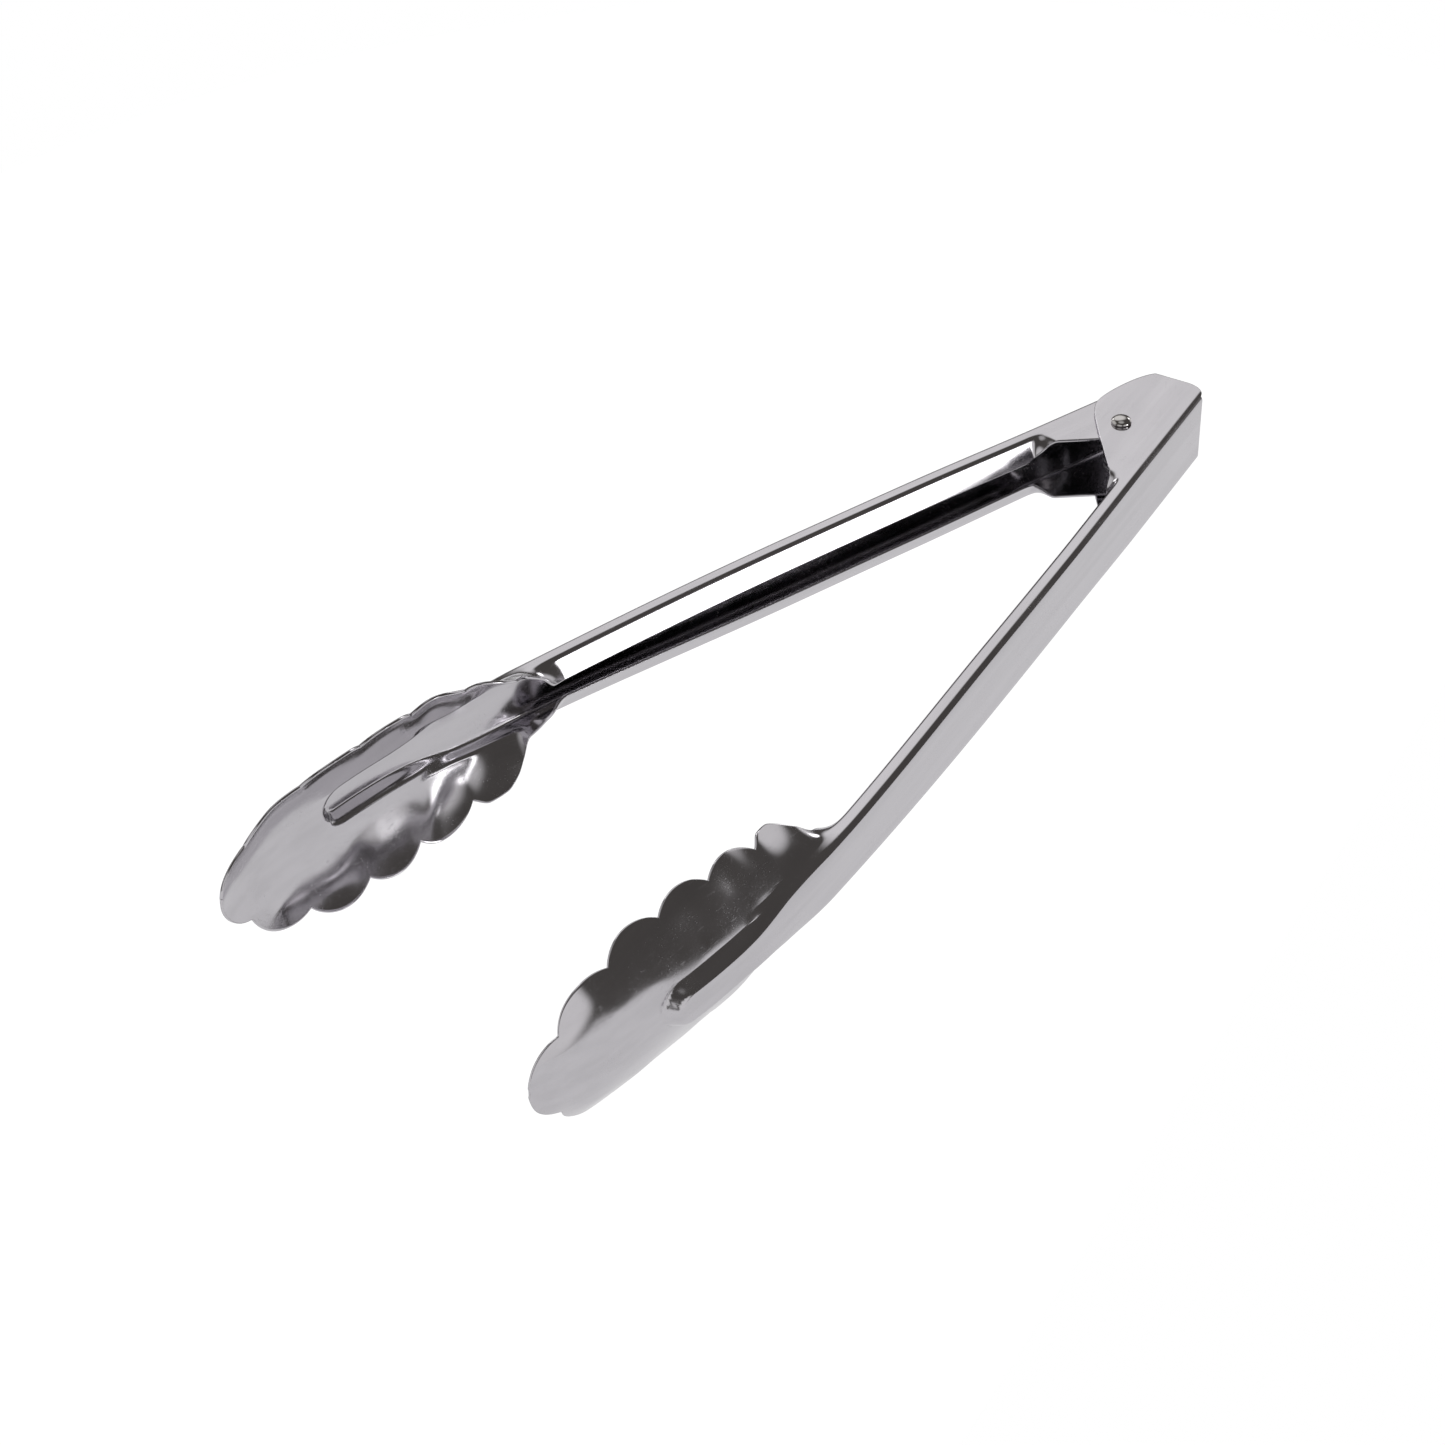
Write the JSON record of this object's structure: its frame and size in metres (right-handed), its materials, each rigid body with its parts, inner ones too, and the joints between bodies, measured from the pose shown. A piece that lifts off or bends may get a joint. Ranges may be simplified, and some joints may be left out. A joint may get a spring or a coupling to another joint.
{
  "type": "spring loaded kitchen tongs",
  "caption": "Spring loaded stamped steel tongs with scalloped spoon jaws and channel handles, joined by a pivot rivet.",
  "frame": {"origin": "bottom centre of the open tongs' bounding box", "axes": "+X from the pivot to the jaws along the bisector of the open arms, +Y towards the outer arm, +Z along the rivet, upwards as the tongs lie on a table"},
  "size_m": [0.3036, 0.1134, 0.0453],
  "materials": {
    "arm_steel": "polished stainless steel sheet with fine scratches",
    "rivet_steel": "polished stainless steel",
    "spring_steel": "drawn stainless steel wire"
  },
  "bodies": {
    "outer_body": {"outer_arm": "arm_steel", "pivot_rivet": "rivet_steel", "torsion_spring": "spring_steel"},
    "inner_body": {"inner_arm": "arm_steel"}
  },
  "joints": [
    {"name": "arm_hinge", "type": "hinge", "parent": "outer_body", "child": "inner_body", "pos_m": [-0.12493, 0, 0.02266], "axis": [0, 0, 1], "range_deg": [0, 19], "stiffness_Nm_per_rad": 1.2, "springref_deg": -20.05, "deforming": ["torsion_spring"]}
  ]
}
